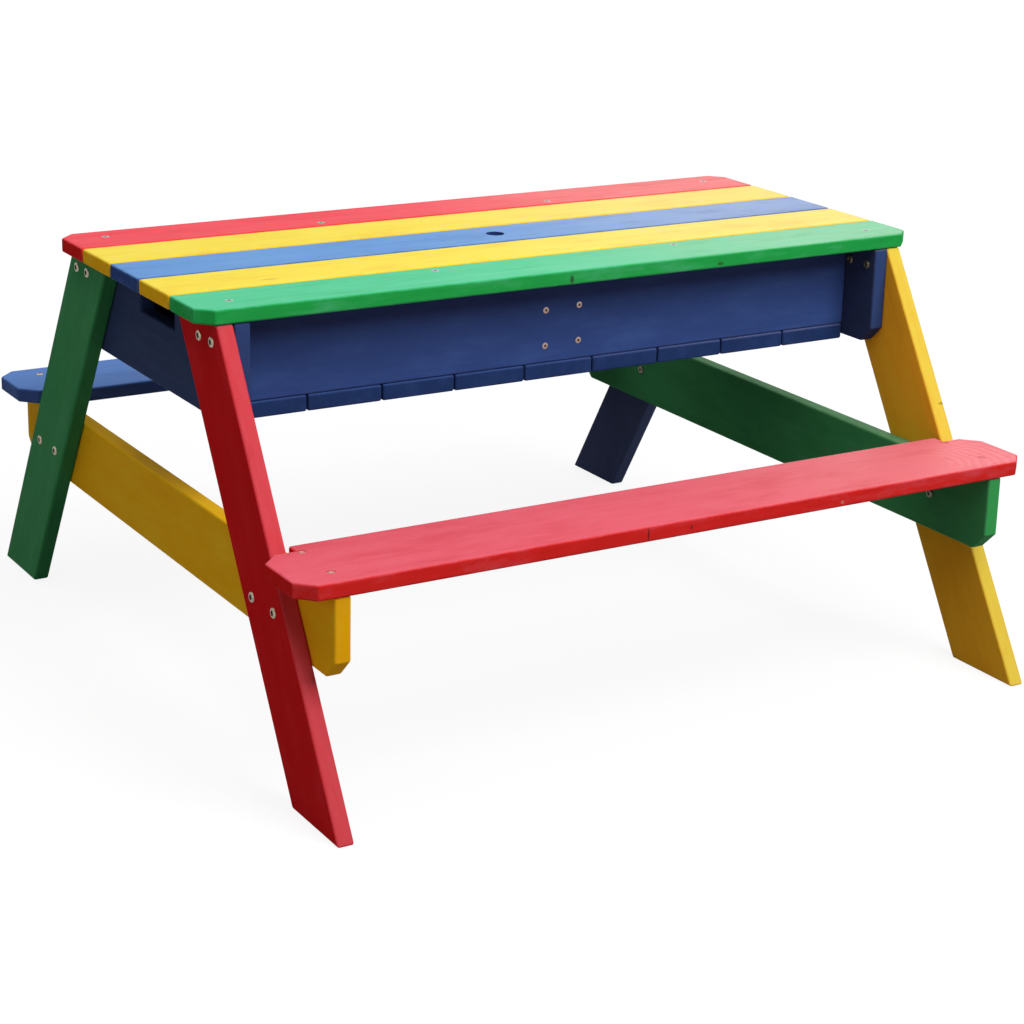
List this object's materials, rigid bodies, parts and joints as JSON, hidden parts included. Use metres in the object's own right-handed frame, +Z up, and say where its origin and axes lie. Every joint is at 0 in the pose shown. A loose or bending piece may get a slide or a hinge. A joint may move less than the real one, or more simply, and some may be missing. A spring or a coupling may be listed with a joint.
{
  "type": "children's picnic table with sandbox",
  "caption": "Small wooden picnic table with attached benches and a shallow divided sandbox under a lift-off lid that forms the middle of the tabletop.",
  "frame": {"origin": "on the floor, under the middle of the tabletop", "axes": "+X along the tabletop to the right, +Y to the rear bench, +Z up"},
  "size_m": [1.0068, 1.0294, 0.521],
  "materials": {
    "red_stained_wood": "satin stain over visible grain",
    "yellow_stained_wood": "satin stain over visible grain",
    "blue_stained_wood": "satin stain over visible grain",
    "green_stained_wood": "satin stain over visible grain",
    "brass_screw": "plated, satin",
    "steel_bolt": "plated, satin"
  },
  "bodies": {
    "table": {"beam_left_yellow": "yellow_stained_wood", "beam_right_green": "green_stained_wood", "bench_front_red": "red_stained_wood", "bench_rear_blue": "blue_stained_wood", "bench_screw_front_left_1": "brass_screw", "bench_screw_front_left_2": "brass_screw", "bench_screw_front_right_1": "brass_screw", "bench_screw_front_right_2": "brass_screw", "bench_screw_rear_left_1": "brass_screw", "bench_screw_rear_left_2": "brass_screw", "bench_screw_rear_right_1": "brass_screw", "bench_screw_rear_right_2": "brass_screw", "divider_left": "blue_stained_wood", "divider_right": "blue_stained_wood", "end_board_left": "blue_stained_wood", "end_board_right": "blue_stained_wood", "floor_slat_1": "blue_stained_wood", "floor_slat_2": "blue_stained_wood", "floor_slat_3": "blue_stained_wood", "floor_slat_4": "blue_stained_wood", "floor_slat_5": "blue_stained_wood", "floor_slat_6": "blue_stained_wood", "floor_slat_7": "blue_stained_wood", "floor_slat_8": "blue_stained_wood", "floor_slat_9": "blue_stained_wood", "leg_bolt_front_left_beam_1": "steel_bolt", "leg_bolt_front_left_beam_2": "steel_bolt", "leg_bolt_front_left_top_1": "steel_bolt", "leg_bolt_front_left_top_2": "steel_bolt", "leg_bolt_front_right_beam_1": "steel_bolt", "leg_bolt_front_right_beam_2": "steel_bolt", "leg_bolt_front_right_top_1": "steel_bolt", "leg_bolt_front_right_top_2": "steel_bolt", "leg_bolt_rear_left_beam_1": "steel_bolt", "leg_bolt_rear_left_beam_2": "steel_bolt", "leg_bolt_rear_left_top_1": "steel_bolt", "leg_bolt_rear_left_top_2": "steel_bolt", "leg_bolt_rear_right_beam_1": "steel_bolt", "leg_bolt_rear_right_beam_2": "steel_bolt", "leg_bolt_rear_right_top_1": "steel_bolt", "leg_bolt_rear_right_top_2": "steel_bolt", "leg_front_left_red": "red_stained_wood", "leg_front_right_yellow": "yellow_stained_wood", "leg_rear_left_green": "green_stained_wood", "leg_rear_right_blue": "blue_stained_wood", "side_panel_front": "blue_stained_wood", "side_panel_rear": "blue_stained_wood", "top_plank_front_green": "green_stained_wood", "top_plank_rear_red": "red_stained_wood"},
    "lid": {"lid_batten_1": "yellow_stained_wood", "lid_batten_2": "yellow_stained_wood", "lid_batten_3": "yellow_stained_wood", "lid_batten_4": "yellow_stained_wood", "lid_plank_centre_blue": "blue_stained_wood", "lid_plank_front_yellow": "yellow_stained_wood", "lid_plank_rear_yellow": "yellow_stained_wood"}
  },
  "joints": [
    {"name": "lid_lift", "type": "slide", "parent": "table", "child": "lid", "axis": [0, 0, 1], "range_m": [0, 0.25]}
  ]
}
